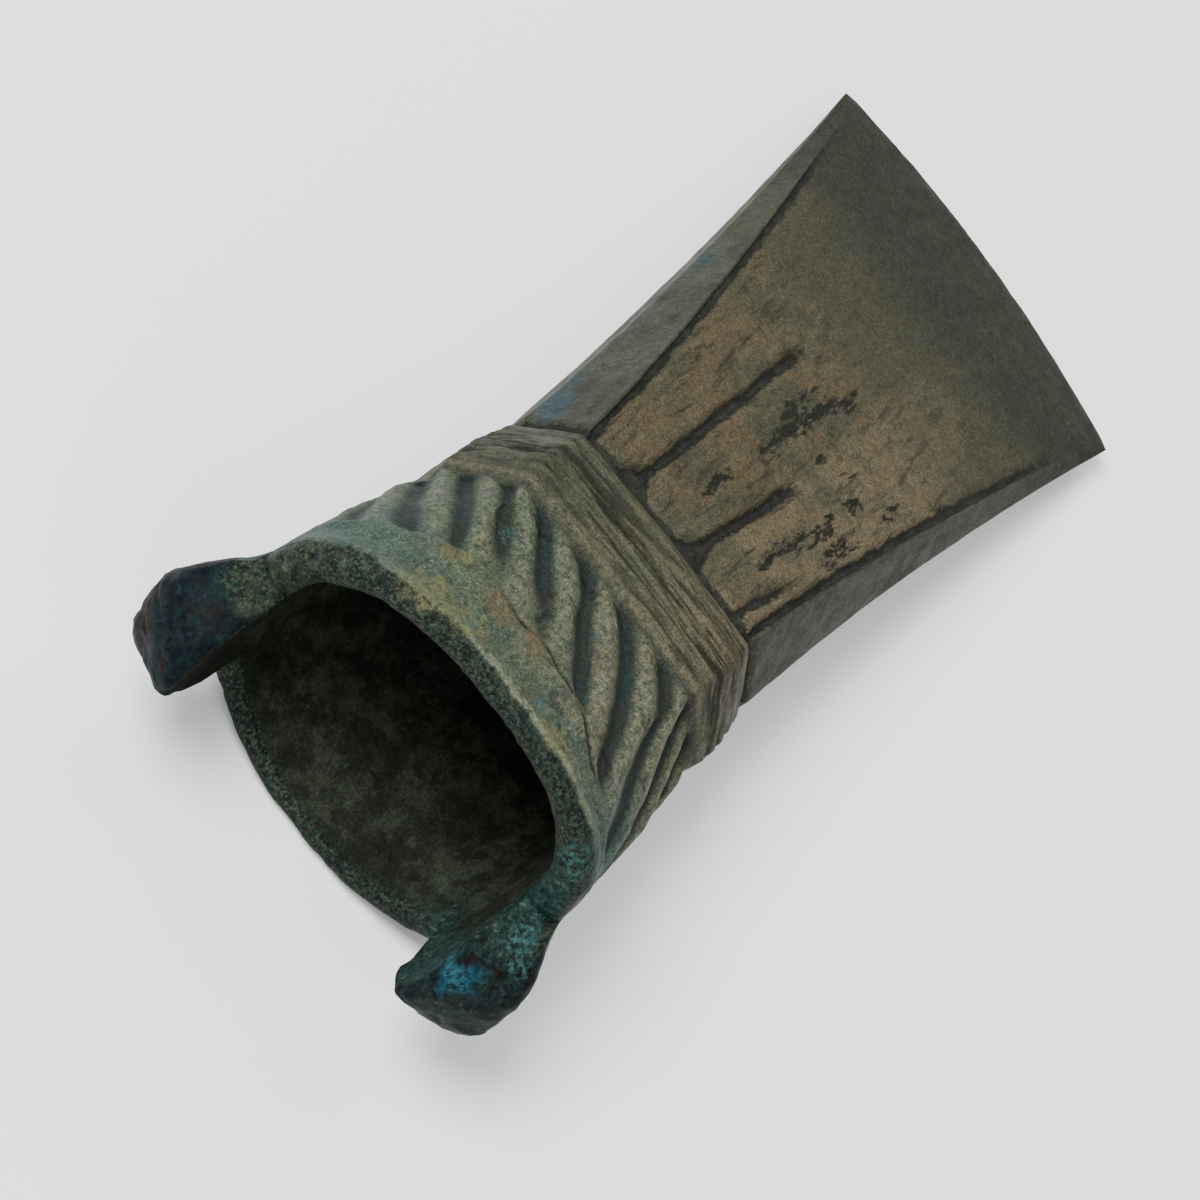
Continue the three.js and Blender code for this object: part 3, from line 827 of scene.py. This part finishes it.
    # Stains
    colour = coat(colour, tone(122, 122, 84), share("pale_green"), between(fine, 0.36, 0.58, 0.1, 0.8))
    colour = coat(colour, tone(112, 99, 70), share("ochre"), between(fine, 0.36, 0.58, 0.1, 0.7))
    colour = coat(colour, tone(66, 110, 108), share("turquoise"), between(fine, 0.44, 0.6, 0, 0.8))
    azurite = paint.blend(between(middle, 0.4, 0.6), tone(30, 84, 106), tone(52, 104, 116))
    colour = coat(colour, azurite, share("azurite"), between(fine, 0.36, 0.54, 0.1, 1))
    colour = coat(colour, tone(52, 80, 92), share("blue"), between(long_way, 0.3, 0.6, 0.2, 0.8))
    colour = coat(colour, tone(25, 17, 15), share("rust"), between(fine, 0.34, 0.5, 0.5, 1))
    colour = coat(colour, tone(40, 31, 23), share("brown"), between(fine, 0.34, 0.5, 0.3, 0.95))

    # Grit all over, then the pale flecks, which are painted glints
    colour = paint.darken(colour, between(grit, 0.3, 0.7, 0.58, 1.4))
    colour = paint.darken(colour, between(fine, 0.3, 0.7, 0.8, 1.2))
    colour = coat(colour, tone(186, 206, 198), share("glint"))

    paint.link(colour, paint.shader.inputs["Base Color"])
    dull = between(middle, 0.35, 0.7, 0.5, 0.7)
    dull = paint.combine("ADD", dull, paint.combine("MULTIPLY", share("socket"), 0.2))
    paint.link(dull, paint.shader.inputs["Roughness"])
    paint.shader.inputs["Metallic"].default_value = 0.0
    paint.shader.inputs["Specular IOR Level"].default_value = SPECULAR_LEVEL
    grain = paint.bump(grit, 0.5, 0.06 * MM)
    grain = paint.bump(fine, 0.5, 0.14 * MM, grain)
    paint.link(paint.bump(middle, 0.4, 0.22 * MM, grain), paint.shader.inputs["Normal"])
    return paint.material


def make_axe_head():
    points, g, shares = make_grid()
    places = points.copy()
    points = weather(points, g, shares)
    add_stains_and_glints(places, shares)
    piece = make_mesh("cast_axe_head", points, shares, places)
    piece.data.materials.append(bronze_patina())
    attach(piece, "root")
    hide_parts("axe_head")


# Stage

FLOOR_SIZE = 4
FLOOR_TONE = (0.92, 0.92, 0.92, 1)
FLOOR_ROUGHNESS = 0.8
STUDIO_TONE = (0.9, 0.93, 0.96, 1)
STUDIO_STRENGTH = 0.46

# Lights: place, size and power
LIGHTS = {
    "key_light": ((-0.3, 0.48, 0.95), 0.5, 23),
    "fill_light": ((-0.6, -0.5, 0.8), 0.9, 6.8),
    "blade_light": ((0.7, 0.1, 0.8), 0.8, 5.4),
}


def make_floor():
    half = FLOOR_SIZE / 2
    corners = [(-half, -half, 0), (half, -half, 0), (half, half, 0), (-half, half, 0)]
    mesh = bpy.data.meshes.new("floor")
    mesh.from_pydata(corners, [], [(0, 1, 2, 3)])
    floor = bpy.data.objects.new("floor", mesh)
    bpy.context.collection.objects.link(floor)
    paint = Paint("pale_floor")
    paint.shader.inputs["Base Color"].default_value = FLOOR_TONE
    paint.shader.inputs["Roughness"].default_value = FLOOR_ROUGHNESS
    mesh.materials.append(paint.material)


def add_light(name, place, size, power):
    light = bpy.data.lights.new(name, "AREA")
    light.size = size
    light.energy = power
    lamp = bpy.data.objects.new(name, light)
    lamp.location = place
    lamp.rotation_euler = Vector(place).to_track_quat("Z", "Y").to_euler()
    bpy.context.collection.objects.link(lamp)


def make_lights():
    for name, (place, size, power) in LIGHTS.items():
        add_light(name, place, size, power)
    world = bpy.data.worlds.new("studio")
    bpy.context.scene.world = world
    world.use_nodes = True
    background = world.node_tree.nodes["Background"]
    background.inputs["Color"].default_value = STUDIO_TONE
    background.inputs["Strength"].default_value = STUDIO_STRENGTH


def make_camera():
    data = bpy.data.cameras.new("camera")
    data.sensor_width = SENSOR_WIDTH
    data.lens = CAMERA_LENS
    data.clip_start = 0.01
    camera = bpy.data.objects.new("camera", data)
    back = CAMERA_RIGHT.cross(CAMERA_UP)
    turn = Matrix((CAMERA_RIGHT, CAMERA_UP, back)).transposed().to_4x4()
    camera.matrix_world = Matrix.Translation(CAMERA_PLACE) @ turn
    bpy.context.collection.objects.link(camera)
    bpy.context.scene.camera = camera


make_camera()
make_axe_head()
make_floor()
make_lights()
